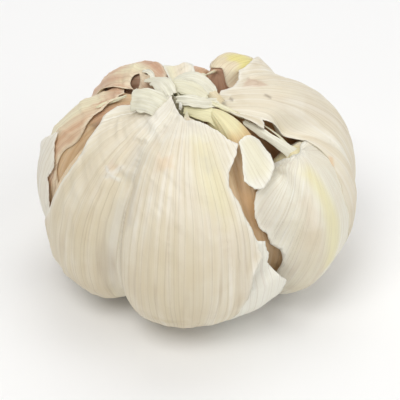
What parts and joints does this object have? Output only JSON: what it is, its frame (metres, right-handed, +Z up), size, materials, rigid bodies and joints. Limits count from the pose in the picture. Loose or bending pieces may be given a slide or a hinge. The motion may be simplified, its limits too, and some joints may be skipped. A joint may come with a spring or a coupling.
{
  "type": "garlic bulb",
  "caption": "Head of garlic standing on its root plate, its papery wrapper torn open to bare the cloves round a dried neck.",
  "frame": {"origin": "centre of the flat underside of the root plate, where the head rests", "axes": "+Z up along the neck; -Y faces the tear in the outer wrapper; +X to the right of it as seen from the front"},
  "size_m": [0.068, 0.0629, 0.0451],
  "materials": {
    "pale_skin": "satin cream clove skin",
    "tan_skin": "satin tan clove skin",
    "rose_skin": "satin rose-brown clove skin",
    "outer_paper": "matt dry cream wrapper with fine veins",
    "inner_paper": "matt dry white wrapper",
    "dried_neck": "matt dried sheaths",
    "root_crust": "rough dried root crust"
  },
  "bodies": {
    "root": {"clove_back": "rose_skin", "clove_back_left": "rose_skin", "clove_back_right": "rose_skin", "clove_front": "pale_skin", "clove_front_gap": "tan_skin", "clove_front_left": "pale_skin", "clove_left": "tan_skin", "clove_right_back": "tan_skin", "clove_right_front": "pale_skin", "neck": "dried_neck", "paper_front_flake": "inner_paper", "paper_front_scrap": "inner_paper", "paper_right_front": "inner_paper", "root_plate": "root_crust", "wrapper_back": "outer_paper", "wrapper_front": "outer_paper", "wrapper_right": "outer_paper"}
  },
  "joints": []
}
